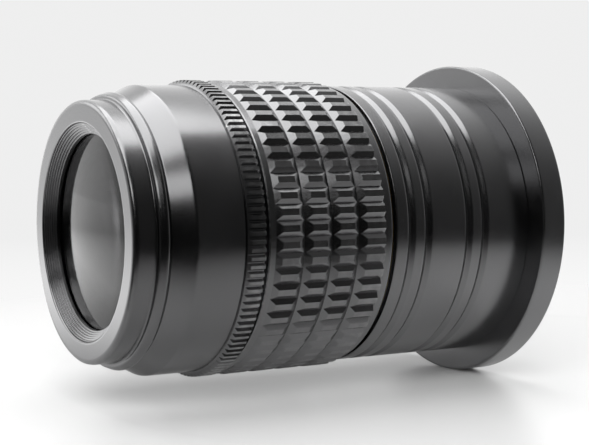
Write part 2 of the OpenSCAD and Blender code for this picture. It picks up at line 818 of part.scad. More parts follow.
module fifth_glass() {
    glass(rear_pair_r, fifth_top, glass_edge, inner_curve_r, inner_curve_r);
}

module rear_spacer() {
    color("black") laid()
        ring(rear_pair_r - glass_rim, rear_pair_r, rear_glass_top, fifth_top - glass_edge);
}

module rear_glass() {
    glass(rear_glass_r, rear_glass_top, glass_edge, -6 * inner_curve_r, 2 * inner_curve_r);
}

module rear_glass_keeper() {
    color("black") laid()
        ring(rear_glass_r - glass_rim, rear_glass_r, rear_cell_base, rear_keeper_top);
}

// Toothed ring that opens and closes the iris
module aperture_ring() {
    bore_r = slide_tube_r + run_fit;
    valley_r = knurl_r - knurl_depth;
    half_pitch = PI * knurl_r / knurl_count;
    half_floor = half_pitch * knurl_floor_share;
    slope = knurl_depth / (half_pitch * (1 - knurl_top_share) - half_floor);
    half_mouth = half_floor + (knurl_depth + cut_reach) / slope;
    color("dimgray") laid() difference() {
        turned([
            [bore_r, knurl_base], [knurl_r - edge_chamfer, knurl_base],
            [knurl_r, knurl_base + edge_chamfer],
            [knurl_r, knurl_top - knurl_bevel], [barrel_r, knurl_top - ring_gap],
            [front_barrel_r, knurl_top], [bore_r, knurl_top]
        ]);
        around(knurl_count)
            translate([0, 0, knurl_base - CUT])
                linear_extrude(height = knurl_len + 2 * CUT)
                    polygon([
                        [valley_r, -half_floor], [knurl_r + cut_reach, -half_mouth],
                        [knurl_r + cut_reach, half_mouth], [valley_r, half_floor]
                    ]);
        for (i = [0:stop_count - 1])
            rotate([0, 0, detent_angle - i * aperture_turn_deg / (stop_count - 1)])
                translate([detent_r, 0, knurl_top + ball_r * detent_share]) sphere(r = ball_r);
        rotate([0, 0, drive_pin_angle])
            radial_pin(drive_pin_r, slide_tube_r, slide_tube_r + drive_pin_hold, drive_pin_h);
    }
}

detent_share = 0.6;
clip_t = 0.5;
clip_w = 1;
clip_gap_deg = 20;

// Spring clip behind the aperture ring
module aperture_ring_clip() {
    clip_top = knurl_base - flat_gap / 2;
    color("silver") laid()
        ring_sector(slide_tube_r, slide_tube_r + clip_w, clip_top - clip_t, clip_top, clip_gap_deg / 2,
            360 - clip_gap_deg);
}

mount_flange();
flange_screws();
rear_barrel();
rear_baffle();
guide_tube();
focus_bearing_ring();
focus_stop_pin();
focus_ring();
focus_grip();
slide_tube();
guide_keys();
key_screws();
front_barrel();
filter_ring();
ridged_ring();
front_cell();
front_glass();
front_spacer();
second_glass();
third_glass();
third_glass_keeper();
iris_housing();
iris_cover();
rear_cell();
fourth_glass();
pair_spacer();
fifth_glass();
rear_spacer();
rear_glass();
rear_glass_keeper();
click_ball();
click_spring();
aperture_ring();
aperture_ring_clip();
iris_drive_pin();
iris_drive_ring();
iris_blade(1);  // iris_blade_1
iris_blade(2);  // iris_blade_2
iris_blade(3);  // iris_blade_3
iris_blade(4);  // iris_blade_4
iris_blade(5);  // iris_blade_5
iris_blade(6);  // iris_blade_6
iris_blade(7);  // iris_blade_7
iris_blade(8);  // iris_blade_8
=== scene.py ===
# Looks of a black anodised ultraviolet lens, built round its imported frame.
# Lengths are in metres. The optical axis is Y, with the front glass towards -Y.
import json
import math

import bmesh
import bpy
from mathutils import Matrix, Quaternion, Vector


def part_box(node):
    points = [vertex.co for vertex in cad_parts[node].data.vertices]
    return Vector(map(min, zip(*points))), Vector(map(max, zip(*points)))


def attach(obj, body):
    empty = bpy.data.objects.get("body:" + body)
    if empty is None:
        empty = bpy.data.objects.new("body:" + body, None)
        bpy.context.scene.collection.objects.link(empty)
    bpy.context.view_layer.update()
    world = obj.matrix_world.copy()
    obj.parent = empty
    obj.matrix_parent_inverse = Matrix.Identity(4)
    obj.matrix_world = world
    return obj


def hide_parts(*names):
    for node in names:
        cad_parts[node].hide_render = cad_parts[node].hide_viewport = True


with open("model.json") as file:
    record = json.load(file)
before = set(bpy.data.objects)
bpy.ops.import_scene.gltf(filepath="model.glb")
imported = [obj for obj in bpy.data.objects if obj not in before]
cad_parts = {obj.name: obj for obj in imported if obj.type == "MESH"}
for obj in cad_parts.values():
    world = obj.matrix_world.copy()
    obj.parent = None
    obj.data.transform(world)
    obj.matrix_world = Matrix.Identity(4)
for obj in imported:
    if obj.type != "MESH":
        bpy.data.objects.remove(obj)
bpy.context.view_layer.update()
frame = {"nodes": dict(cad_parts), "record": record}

MM = 0.001

# Heights along the axis from the mounting face, and radii, read from the frame

def heights(node):
    low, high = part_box(node)
    return -high.y, -low.y


def outer_radius(node):
    low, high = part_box(node)
    return (high.x - low.x) / 2


flange_r = outer_radius("mount_flange")
flange_top = heights("mount_flange")[1]
barrel_top = heights("rear_barrel")[1]
barrel_r = outer_radius("rear_barrel")
focus_lip_base, focus_seat_top = heights("focus_ring")
grip_base, focus_top = heights("focus_grip")
knurl_base, knurl_top = heights("aperture_ring")
front_barrel_base, cone_top = heights("front_barrel")
front_barrel_r = outer_radius("front_barrel")
collar_r = outer_radius("filter_ring")
lens_len = heights("filter_ring")[1]
glass_seat = heights("front_glass")[0]
ridged_base = heights("ridged_ring")[0]
mouth_r = outer_radius("ridged_ring")
cell_r = outer_radius("front_glass")
slide_r = outer_radius("slide_tube")

# Sizes of the visible shapes that the boxes don't give

throat_r = 21 * MM
throat_chamfer = 0.8 * MM
tapped_r = 1.25 * MM
tapped_circle_r = 38.1 * MM
tapped_depth = 5 * MM
screw_circle_r = 33.2 * MM
screw_r = 1.12 * MM
screw_head_r = 2.02 * MM
groove_depth = 0.65 * MM
groove_half_w = 1.13 * MM
first_groove_drop = 4.35 * MM
groove_pitch = 4.9 * MM
groove_pair_pitch = 17.1 * MM
groove_places = [barrel_top - first_groove_drop - pair * groove_pair_pitch - side * groove_pitch
                 for pair in (0, 1) for side in (0, 1)]
groove_lip = 0.12 * MM
land_bore_r = 30.9 * MM
land_len = 5 * MM
barrel_bore_r = 32.7 * MM
bearing_bore_r = 34.01 * MM
bearing_bore_len = 8.1 * MM
focus_rim_len = 2.5 * MM
skirt_r = 33.28 * MM
focus_bore_r = 32.48 * MM
grip_bore_r = 34.14 * MM
grip_r = 36.42 * MM
grip_land_r = 35.64 * MM
grip_land = 1.65 * MM
grip_count = 60
grip_top_share = 0.4
grip_end = 0.25 * MM
ring_groove_r = 35.45 * MM
first_ring_groove_drop = 9.25 * MM
ring_groove_pitch = 7.39 * MM
ring_groove_places = [focus_top - first_ring_groove_drop - i * ring_groove_pitch for i in range(3)]
grip_slope = math.tan(math.radians(29))
knurl_count = 120
knurl_r = 36.39 * MM
knurl_floor_r = 35.67 * MM
knurl_bevel = 0.84 * MM
knurl_end = 0.07 * MM
knurl_top_share = 0.4
knurl_floor_share = 0.14
ring_gap = 0.15 * MM
cone_len = 5 * MM
cone_small_r = 32.3 * MM
joint_r = 29.6 * MM
joint_len = 4 * MM
web_len = 4 * MM
collar_front_r = 32.5 * MM
collar_back_len = 0.9 * MM
collar_edge = 0.5 * MM
collar_cone_len = 1.65 * MM
front_ring_r = 31.35 * MM
front_round = 1.17 * MM
front_clear_r = 23.42 * MM
front_glass_rim = 0.6 * MM
front_glass_play = 0.3 * MM
front_curve_r = 140 * MM
back_curve_r = 420 * MM
ridge_count = 6
ridge_drop = 2.64 * MM
seam_play = 0.03 * MM
seam_wall = 1 * MM

# Roundings of edges

hair_round = 0.03 * MM
ridge_foot_round = 0.08 * MM
fine_round = 0.1 * MM
bore_round = 0.12 * MM
throat_round = 0.15 * MM
edge_round = 0.25 * MM
flange_back_round = 0.3 * MM
cone_round = 0.35 * MM
mouth_round = 0.35 * MM
collar_round = 0.4 * MM
flange_front_round = 0.45 * MM
collar_foot_round = 0.5 * MM


# Shader groups

def new_group(name, kind="ShaderNodeTree"):
    return bpy.data.node_groups.new(name, kind)


def add_socket(tree, name, kind, default=None, output=False):
    socket = tree.interface.new_socket(name, in_out="OUTPUT" if output else "INPUT", socket_type=kind)
    if default is not None:
        socket.default_value = default
    return socket


def math_node(nodes, links, operation, first, second):
    node = nodes.new("ShaderNodeMath")
    node.operation = operation
    for place, value in enumerate((first, second)):
        if isinstance(value, (int, float)):
            node.inputs[place].default_value = value
        elif value is not None:
            links.new(value, node.inputs[place])
    return node.outputs[0]


def turning_marks_group():
    """Fine rings that a lathe leaves: noise that changes along the axis and hardly round it."""
    tree = new_group("turning_marks")
    add_socket(tree, "Pitch", "NodeSocketFloat", 0.00012)
    add_socket(tree, "Round Stretch", "NodeSocketFloat", 0.02)
    add_socket(tree, "Height", "NodeSocketFloat", output=True)
    nodes, links = tree.nodes, tree.links
    inputs = nodes.new("NodeGroupInput")
    result = nodes.new("NodeGroupOutput")
    place = nodes.new("ShaderNodeTexCoord")
    split = nodes.new("ShaderNodeSeparateXYZ")
    links.new(place.outputs["Object"], split.inputs[0])
    angle = math_node(nodes, links, "ARCTAN2", split.outputs["Z"], split.outputs["X"])
    along = math_node(nodes, links, "DIVIDE", split.outputs["Y"], inputs.outputs["Pitch"])
    square_x = math_node(nodes, links, "MULTIPLY", split.outputs["X"], split.outputs["X"])
    square_z = math_node(nodes, links, "MULTIPLY", split.outputs["Z"], split.outputs["Z"])
    square = math_node(nodes, links, "ADD", square_x, square_z)
    radius = math_node(nodes, links, "SQRT", square, None)
    outward = math_node(nodes, links, "DIVIDE", radius, inputs.outputs["Pitch"])
    rings = math_node(nodes, links, "ADD", along, outward)
    turn = math_node(nodes, links, "MULTIPLY", angle, inputs.outputs["Round Stretch"])
    join = nodes.new("ShaderNodeCombineXYZ")
    links.new(rings, join.inputs["X"])
    links.new(turn, join.inputs["Y"])
    noise = nodes.new("ShaderNodeTexNoise")
    noise.inputs["Scale"].default_value = 1.0
    noise.inputs["Detail"].default_value = 2.0
    links.new(join.outputs[0], noise.inputs["Vector"])
    links.new(noise.outputs["Fac"], result.inputs["Height"])
    return tree


def surface_grain_group():
    """Fine grain and slow cloudy variation of a blasted and dyed surface."""
    tree = new_group("surface_grain")
    add_socket(tree, "Grain Size", "NodeSocketFloat", 0.00015)
    add_socket(tree, "Cloud Size", "NodeSocketFloat", 0.012)
    add_socket(tree, "Grain", "NodeSocketFloat", output=True)
    add_socket(tree, "Cloud", "NodeSocketFloat", output=True)
    nodes, links = tree.nodes, tree.links
    inputs = nodes.new("NodeGroupInput")
    result = nodes.new("NodeGroupOutput")
    place = nodes.new("ShaderNodeTexCoord")
    for size, output, detail in (("Grain Size", "Grain", 3.0), ("Cloud Size", "Cloud", 5.0)):
        scale = math_node(nodes, links, "DIVIDE", 1.0, inputs.outputs[size])
        noise = nodes.new("ShaderNodeTexNoise")
        noise.inputs["Detail"].default_value = detail
        links.new(scale, noise.inputs["Scale"])
        links.new(place.outputs["Object"], noise.inputs["Vector"])
        links.new(noise.outputs["Fac"], result.inputs[output])
    return tree


def edge_wear_group():
    """Mask of sharp outer edges, broken up by noise, where dye rubs thin."""
    tree = new_group("edge_wear")
    add_socket(tree, "Edge Start", "NodeSocketFloat", 0.52)
    add_socket(tree, "Edge End", "NodeSocketFloat", 0.6)
    add_socket(tree, "Patch Size", "NodeSocketFloat", 0.002)
    add_socket(tree, "Wear", "NodeSocketFloat", output=True)
    nodes, links = tree.nodes, tree.links
    inputs = nodes.new("NodeGroupInput")
    result = nodes.new("NodeGroupOutput")
    shape = nodes.new("ShaderNodeNewGeometry")
    edge = nodes.new("ShaderNodeMapRange")
    links.new(shape.outputs["Pointiness"], edge.inputs["Value"])
    links.new(inputs.outputs["Edge Start"], edge.inputs["From Min"])
    links.new(inputs.outputs["Edge End"], edge.inputs["From Max"])
    place = nodes.new("ShaderNodeTexCoord")
    scale = math_node(nodes, links, "DIVIDE", 1.0, inputs.outputs["Patch Size"])
    noise = nodes.new("ShaderNodeTexNoise")
    noise.inputs["Detail"].default_value = 4.0
    links.new(scale, noise.inputs["Scale"])
    links.new(place.outputs["Object"], noise.inputs["Vector"])
    patches = nodes.new("ShaderNodeMapRange")
    patches.inputs["From Min"].default_value = 0.35
    patches.inputs["From Max"].default_value = 0.65
    links.new(noise.outputs["Fac"], patches.inputs["Value"])
    wear = math_node(nodes, links, "MULTIPLY", edge.outputs[0], patches.outputs[0])
    links.new(wear, result.inputs["Wear"])
    return tree


TURNING = turning_marks_group()
GRAIN = surface_grain_group()
WEAR = edge_wear_group()


# Materials

CLOUD_SPREAD = (0.3, 0.7)
METAL_GRAIN = 0.0000004
PAINT_RELIEF = 0.000002


def new_material(name):
    material = bpy.data.materials.new(name)
    material.use_nodes = True
    nodes, links = material.node_tree.nodes, material.node_tree.links
    return material, nodes, links, nodes["Principled BSDF"]


def place_group(nodes, tree, **values):
    node = nodes.new("ShaderNodeGroup")
    node.node_tree = tree
    for name, value in values.items():
        node.inputs[name.replace("_", " ")].default_value = value
    return node


def colour_mix(nodes, links, mask, first, second):
    mix = nodes.new("ShaderNodeMix")
    mix.data_type = "RGBA"
    links.new(mask, mix.inputs["Factor"])
    for name, colour in (("A", first), ("B", second)):
        socket = next(s for s in mix.inputs if s.name == name and s.type == "RGBA")
        if isinstance(colour, tuple):
            socket.default_value = (*colour, 1)
        else:
            links.new(colour, socket)
    return next(s for s in mix.outputs if s.type == "RGBA")


def range_node(nodes, links, value, low, high, start=0.0, end=1.0):
    node = nodes.new("ShaderNodeMapRange")
    node.inputs["From Min"].default_value = start
    node.inputs["From Max"].default_value = end
    node.inputs["To Min"].default_value = low
    node.inputs["To Max"].default_value = high
    links.new(value, node.inputs["Value"])
    return node.outputs[0]


def bump_chain(nodes, links, shader, layers):
    """Stacks bumps, each a height with its depth in metres, and feeds the shader's normal."""
    normal = None
    for height, depth in layers:
        bump = nodes.new("ShaderNodeBump")
        bump.inputs["Distance"].default_value = depth
        bump.inputs["Strength"].default_value = 1.0
        links.new(height, bump.inputs["Height"])
        if normal is not None:
            links.new(normal, bump.inputs["Normal"])
        normal = bump.outputs[0]
    links.new(normal, shader.inputs["Normal"])


def metal(name, dark, light, rough, worn=None, marks=0.0000006, pitch=0.00012):
    """Turned metal: cloudy colour between two tones, lathe rings, fine grain and, if worn, rubbed edges."""
    material, nodes, links, shader = new_material(name)
    turning = place_group(nodes, TURNING, Pitch=pitch)
    speckle = place_group(nodes, GRAIN)
    colour = colour_mix(nodes, links, speckle.outputs["Cloud"], dark, light)
    if worn:
        rubbed = place_group(nodes, WEAR, Edge_Start=0.53, Edge_End=0.62)
        colour = colour_mix(nodes, links, rubbed.outputs["Wear"], colour, worn)
    links.new(colour, shader.inputs["Base Color"])
    spread = range_node(nodes, links, speckle.outputs["Cloud"], *rough, *CLOUD_SPREAD)
    links.new(spread, shader.inputs["Roughness"])
    shader.inputs["Metallic"].default_value = 1.0
    bump_chain(nodes, links, shader, ((turning.outputs["Height"], marks),
                                      (speckle.outputs["Grain"], METAL_GRAIN)))
    return material


def optical_black():
    """Dull black paint of the inside walls, with a soft sheen at a glancing angle."""
    material, nodes, links, shader = new_material("dark_optical_black")
    speckle = place_group(nodes, GRAIN, Grain_Size=0.00025)
    turning = place_group(nodes, TURNING, Pitch=0.00025)
    cloud = speckle.outputs["Cloud"]
    colour = colour_mix(nodes, links, cloud, (0.006, 0.006, 0.0065), (0.016, 0.016, 0.017))
    links.new(colour, shader.inputs["Base Color"])
    spread = range_node(nodes, links, cloud, 0.42, 0.6, *CLOUD_SPREAD)
    links.new(spread, shader.inputs["Roughness"])
    bump_chain(nodes, links, shader, ((turning.outputs["Height"], PAINT_RELIEF),
                                      (speckle.outputs["Grain"], PAINT_RELIEF)))
    return material


def coated_glass():
    """Smoky glass whose polish varies a little, as under a thin coating."""
    material, nodes, links, shader = new_material("coated_glass")
    speckle = place_group(nodes, GRAIN, Grain_Size=0.0009, Cloud_Size=0.02)
    cloud = speckle.outputs["Cloud"]
    spread = range_node(nodes, links, cloud, 0.05, 0.09, *CLOUD_SPREAD)
    links.new(spread, shader.inputs["Roughness"])
    colour = colour_mix(nodes, links, cloud, (0.06, 0.06, 0.062), (0.09, 0.09, 0.093))
    links.new(colour, shader.inputs["Base Color"])
    shader.inputs["Transmission Weight"].default_value = 1.0
    shader.inputs["IOR"].default_value = 1.33
    return material


MATERIALS = {
    "black_anodised": metal("black_anodised", (0.17, 0.17, 0.173), (0.2, 0.2, 0.203), (0.2, 0.27),
                            worn=(0.4, 0.4, 0.4)),
    "dark_optical_black": optical_black(),
    "bright_aluminium": metal("bright_aluminium", (0.55, 0.55, 0.56), (0.66, 0.66, 0.67), (0.24, 0.34),
                              marks=0.0000015, pitch=0.0002),
    "bearing_brass": metal("bearing_brass", (0.5, 0.36, 0.15), (0.62, 0.47, 0.22), (0.25, 0.4),
                           marks=0.000001),
    "screw_steel": metal("screw_steel", (0.3, 0.3, 0.31), (0.42, 0.42, 0.43), (0.22, 0.36)),
    "blade_steel": metal("blade_steel", (0.03, 0.031, 0.034), (0.06, 0.062, 0.068), (0.3, 0.42),
                         marks=0.0000003),
    "coated_glass": coated_glass(),
}


# Meshes

def link_object(name, mesh):
    piece = bpy.data.objects.new(name, mesh)
    bpy.context.scene.collection.objects.link(piece)
    return piece


def rounded(outline, steps=3):
    """Outline of (radius, height, rounding) corners, with each rounded corner turned into a short arc."""
    longest_share = 0.45
    points = []
    total = len(outline)
    for place, (r, h, size) in enumerate(outline):
        corner = Vector((r, h))
        if not size:
            points.append(corner)
            continue
        before = Vector(outline[place - 1][:2]) - corner
        after = Vector(outline[(place + 1) % total][:2]) - corner
        reach = min(size, before.length * longest_share, after.length * longest_share)
        start = corner + before.normalized() * reach
        end = corner + after.normalized() * reach
        for step in range(steps + 1):
            t = step / steps
            points.append(start * (1 - t) ** 2 + corner * 2 * t * (1 - t) + end * t ** 2)
    return points


def guarded(points, guard=0.3 * MM):
    """Outline with a point close to each end of every long run, so that edge wear stays at the edges."""
    result = []
    for here, there in zip(points, points[1:] + points[:1]):
        result.append(here)
        run = there - here
        if run.length > 3 * guard:
            inward = run.normalized() * guard
            result += [here + inward, there - inward]
    return result


def weighted(piece):
    """Applies area-weighted normals, so that flat faces beside a rounding stay flat to the eye."""
    modifier = piece.modifiers.new("weighted", "WEIGHTED_NORMAL")
    modifier.keep_sharp = True
    return plain(piece)


def plain(piece):
    """Turns a piece with modifiers into a piece with a plain mesh."""
    depsgraph = bpy.context.evaluated_depsgraph_get()
    made = bpy.data.meshes.new_from_object(piece.evaluated_get(depsgraph), depsgraph=depsgraph)
    made.name = piece.name
    piece.modifiers.clear()
    piece.data = made
    return piece


def smooth_all(mesh):
    mesh.polygons.foreach_set("use_smooth", [True] * len(mesh.polygons))


def loop_skin(loops):
    """Skin between closed loops of points that all have the same count, the last one joined to the first."""
    work = bmesh.new()
    rings = [[work.verts.new(point) for point in loop] for loop in loops]
    for here, there in zip(rings, rings[1:] + rings[:1]):
        for i in range(len(here)):
            j = (i + 1) % len(here)
            work.faces.new((here[i], here[j], there[j], there[i]))
    return work


def laid_point(r, h, turn):
    return Vector((r * math.cos(turn), -h, r * math.sin(turn)))


def turned(name, outline, segments=256):
    """Solid of revolution round the optical axis from a closed outline of (radius, height, rounding)."""
    points = guarded(rounded(outline))
    turns = [2 * math.pi * (s + 0.5) / segments for s in range(segments)]
    work = loop_skin([[laid_point(p.x, p.y, turn) for p in points] for turn in turns])
    bmesh.ops.recalc_face_normals(work, faces=work.faces)
    mesh = bpy.data.meshes.new(name)
    work.to_mesh(mesh)
    work.free()
    smooth_all(mesh)
    return weighted(link_object(name, mesh))


def dress(piece, body, slot, *nodes):
    """Gives a piece its finish and the body that it rides on, and hides the nodes that it stands for."""
    piece.data.materials.clear()
    piece.data.materials.append(MATERIALS[slot])
    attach(piece, body)
    if nodes:
        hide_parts(*nodes)
    return piece


# Copies of one sector in a closed ring

def ring_tree():
    """Geometry nodes that set a sector round the optical axis and weld the copies into one skin."""
    tree = new_group("ring_of_sectors", "GeometryNodeTree")
    add_socket(tree, "Geometry", "NodeSocketGeometry")
    add_socket(tree, "Count", "NodeSocketInt", 60)
    add_socket(tree, "Weld Distance", "NodeSocketFloat", 0.000002)
    add_socket(tree, "Finish", "NodeSocketMaterial")
    add_socket(tree, "Geometry", "NodeSocketGeometry", output=True)
    nodes, links = tree.nodes, tree.links
    inputs = nodes.new("NodeGroupInput")
    result = nodes.new("NodeGroupOutput")
    points = nodes.new("GeometryNodePoints")
    index = nodes.new("GeometryNodeInputIndex")
    pitch = math_node(nodes, links, "DIVIDE", 2 * math.pi, inputs.outputs["Count"])
    turn = math_node(nodes, links, "MULTIPLY", index.outputs[0], pitch)
    back = math_node(nodes, links, "MULTIPLY", turn, -1.0)
    join = nodes.new("ShaderNodeCombineXYZ")
    copies = nodes.new("GeometryNodeInstanceOnPoints")
    real = nodes.new("GeometryNodeRealizeInstances")
    weld = nodes.new("GeometryNodeMergeByDistance")
    shade = nodes.new("GeometryNodeSetShadeSmooth")
    shade.inputs["Shade Smooth"].default_value = False
    finish = nodes.new("GeometryNodeSetMaterial")
    links.new(inputs.outputs["Count"], points.inputs["Count"])
    links.new(back, join.inputs["Y"])
    links.new(points.outputs[0], copies.inputs["Points"])
    links.new(inputs.outputs["Geometry"], copies.inputs["Instance"])
    links.new(join.outputs[0], copies.inputs["Rotation"])
    links.new(copies.outputs[0], real.inputs[0])
    links.new(real.outputs[0], weld.inputs["Geometry"])
    links.new(inputs.outputs["Weld Distance"], weld.inputs["Distance"])
    links.new(weld.outputs[0], shade.inputs["Geometry"])
    links.new(shade.outputs[0], finish.inputs["Geometry"])
    links.new(inputs.outputs["Finish"], finish.inputs["Material"])
    links.new(finish.outputs[0], result.inputs[0])
    return tree


RING = ring_tree()


def set_input(modifier, name, value):
    socket = next(s for s in modifier.node_group.interface.items_tree
                  if s.name == name and getattr(s, "in_out", "") == "INPUT")
    modifier[socket.identifier] = value


def ring_of(name, sector, count, slot):
    piece = link_object(name, sector)
    modifier = piece.modifiers.new("ring", "NODES")
    modifier.node_group = RING
    set_input(modifier, "Count", count)
    set_input(modifier, "Finish", MATERIALS[slot])
    return plain(piece)


def sector_mesh(name, turns, rows, radius, bore_r):
    """Sector of a ring whose outer radius is a function of turn and height, with a plain bore.

    Each outer cell is split along the diagonal that lies closer to the wanted surface.
    """
    flat_limit = 1e-7
    work = bmesh.new()
    grid = [[work.verts.new(laid_point(radius(turn, h), h, turn)) for h in rows] for turn in turns]
    inner = [[work.verts.new(laid_point(bore_r, h, turn)) for h in (rows[0], rows[-1])] for turn in turns]
    for i in range(len(turns) - 1):
        for j in range(len(rows) - 1):
            corners = [grid[i][j], grid[i + 1][j], grid[i + 1][j + 1], grid[i][j + 1]]
            middle = radius((turns[i] + turns[i + 1]) / 2, (rows[j] + rows[j + 1]) / 2)
            radii = [radius(turns[a], rows[b]) for a, b in ((i, j), (i + 1, j), (i + 1, j + 1), (i, j + 1))]
            first = abs((radii[0] + radii[2]) / 2 - middle)
            second = abs((radii[1] + radii[3]) / 2 - middle)
            if abs(first - second) < flat_limit:
                work.faces.new(corners)
            elif first < second:
                work.faces.new((corners[0], corners[1], corners[2]))
                work.faces.new((corners[0], corners[2], corners[3]))
            else:
                work.faces.new((corners[0], corners[1], corners[3]))
                work.faces.new((corners[1], corners[2], corners[3]))
        low, high = inner[i]
        next_low, next_high = inner[i + 1]
        work.faces.new((grid[i][0], low, next_low, grid[i + 1][0]))
        work.faces.new((grid[i][-1], grid[i + 1][-1], next_high, high))
        work.faces.new((low, high, next_high, next_low))
    bmesh.ops.recalc_face_normals(work, faces=work.faces)
    mesh = bpy.data.meshes.new(name)
    work.to_mesh(mesh)
    work.free()
    return mesh


# Focus grip: blocks between grooves that run round it and along it

def grip_profile(h):
    r = grip_r
    for place in ring_groove_places:
        r = min(r, ring_groove_r + abs(h - place) * grip_slope)
    slope = grip_land_r + max(focus_top - grip_land - h, 0.0) * grip_slope
    r = min(r, slope)
    return min(r, grip_land_r - grip_end + (focus_top - h))


def grip_radius(turn, h):
    """Radius of the grip at a turn measured from the middle of a block."""
    half_pitch = math.pi / grip_count
    share = (half_pitch - abs(turn)) / (half_pitch * (1 - grip_top_share))
    return min(grip_profile(h), grip_land_r + share * (grip_r - grip_land_r))


def focus_grip():
    half_pitch = math.pi / grip_count
    wall_run = (grip_r - grip_land_r) / grip_slope
    levels = [0.0, 0.25, 0.5, 0.75, 1.0]
    side = [half_pitch * (1 - (1 - grip_top_share) * (1 - level)) for level in levels]
    turns = sorted([-t for t in side] + side)
    reach = (grip_r - ring_groove_r) / grip_slope
    rows = [grip_base, grip_base + grip_end, focus_top - grip_land, focus_top - grip_end, focus_top]
    for place in ring_groove_places:
        rows.append(place)
        rows += [place + way * (reach - level * wall_run) for level in levels for way in (-1, 1)]
    top = focus_top - grip_land - wall_run
    rows += [top + level * wall_run for level in levels[:-1]]
    mesh = sector_mesh("focus_grip_sector", [half_pitch + t for t in turns], sorted(rows),
                       lambda turn, h: grip_radius(turn - half_pitch, h), grip_bore_r)
    return ring_of("focus_grip_blocks", mesh, grip_count, "black_anodised")


# Aperture ring: straight teeth with a long bevel in front

def tooth_radius(turn, h):
    """Radius of the aperture ring at a turn measured from the middle of a tooth."""
    half_pitch = math.pi / knurl_count
    half_floor = half_pitch * knurl_floor_share
    rise = (knurl_r - knurl_floor_r) / (half_pitch * (1 - knurl_top_share) - half_floor)
    wall = knurl_floor_r + max(half_pitch - abs(turn) - half_floor, 0.0) * rise
    bevel = barrel_r + (knurl_top - ring_gap - h) * (knurl_r - barrel_r) / (knurl_bevel - ring_gap)
    lip = front_barrel_r + (knurl_top - h) * (barrel_r - front_barrel_r) / ring_gap
    return min(knurl_r, wall, bevel, lip, knurl_r - knurl_end + (h - knurl_base))


def aperture_ring():
    half_pitch = math.pi / knurl_count
    half_top = half_pitch * knurl_top_share
    foot = half_pitch * (1 - knurl_floor_share)
    levels = [0.0, 0.35, 0.7, 1.0]
    side = [half_top + (foot - half_top) * level for level in levels] + [half_pitch]
    turns = sorted([-t for t in side] + side)
    depth = knurl_r - knurl_floor_r
    slope = (knurl_bevel - ring_gap) / (knurl_r - barrel_r)
    shoulder = knurl_top - knurl_bevel
    rows = [knurl_base, knurl_base + knurl_end]
    rows += [shoulder + level * depth * slope for level in levels] + [knurl_top - ring_gap, knurl_top]
    mesh = sector_mesh("aperture_ring_sector", [half_pitch + t for t in turns], sorted(rows),
                       lambda turn, h: tooth_radius(turn - half_pitch, h), focus_bore_r)
    return ring_of("aperture_ring_teeth", mesh, knurl_count, "black_anodised")


# Turned pieces

def groove_corners(place):
    return [(barrel_r, place - groove_half_w, groove_lip), (barrel_r - groove_depth, place, groove_lip / 2),
            (barrel_r, place + groove_half_w, groove_lip)]


def rear_barrel():
    outline = [(land_bore_r, flange_top, 0), (barrel_r, flange_top, 0)]
    for place in sorted(groove_places):
        outline += groove_corners(place)
    bearing_bore_base = barrel_top - bearing_bore_len
    land_top = flange_top + land_len
    outline += [
        (barrel_r, barrel_top, edge_round), (bearing_bore_r, barrel_top, bore_round),
        (bearing_bore_r, bearing_bore_base, 0), (barrel_bore_r, bearing_bore_base, 0),
        (barrel_bore_r, land_top, 0), (land_bore_r, land_top, 0),
    ]
    return turned("rear_barrel_shell", outline)


def on_circle(radius, turn):
    return Vector((radius * math.cos(turn), radius * math.sin(turn)))


def cutter(name, radius, low, high, place, wide=None):
    """Cylinder or cone along the optical axis, used to cut one hole."""
    sides = 48
    work = bmesh.new()
    rows = []
    turns = [2 * math.pi * s / sides for s in range(sides)]
    for r, h in ((wide or radius, low), (radius, high)):
        rows.append([work.verts.new(Vector((place.x + r * math.cos(t), -h, place.y + r * math.sin(t))))
                     for t in turns])
    for s in range(sides):
        t = (s + 1) % sides
        work.faces.new((rows[0][s], rows[0][t], rows[1][t], rows[1][s]))
    work.faces.new(rows[0])
    work.faces.new(rows[1])
    bmesh.ops.recalc_face_normals(work, faces=work.faces)
    mesh = bpy.data.meshes.new(name)
    work.to_mesh(mesh)
    work.free()
    return link_object(name, mesh)


def cut_from(piece, cutters):
    for tool in cutters:
        modifier = piece.modifiers.new(tool.name, "BOOLEAN")
        modifier.object = tool
        modifier.operation = "DIFFERENCE"
        modifier.solver = "EXACT"
    plain(piece)
    for tool in cutters:
        bpy.data.objects.remove(tool)
    return piece


def mount_flange():
    piece = turned("mount_flange_disc", [
        (throat_r, 0, throat_chamfer), (flange_r, 0, flange_back_round),
        (flange_r, flange_top, flange_front_round), (throat_r, flange_top, throat_round),
    ])
    past = 0.2 * MM
    holes = []
    for i in range(4):
        quarter = math.pi / 2 * i
        tapped = on_circle(tapped_circle_r, quarter + math.pi / 4)
        holes.append(cutter(f"tapped_{i}", tapped_r, -past, tapped_depth, tapped))
        seat = on_circle(screw_circle_r, quarter)
        holes.append(cutter(f"screw_way_{i}", screw_r, -past, flange_top + past, seat))
        holes.append(cutter(f"screw_seat_{i}", screw_r, -past, screw_head_r - screw_r, seat,
                            wide=screw_head_r + past))
    return weighted(cut_from(piece, holes))


def focus_ring():
    focus_base = grip_base - focus_rim_len
    return turned("focus_ring_tube", [
        (focus_bore_r, focus_lip_base, 0), (skirt_r, focus_lip_base, 0), (skirt_r, focus_base, 0),
        (barrel_r, focus_base, edge_round), (barrel_r, grip_base, fine_round), (grip_bore_r, grip_base, 0),
        (grip_bore_r, focus_seat_top, 0), (focus_bore_r, focus_seat_top, 0),
    ])


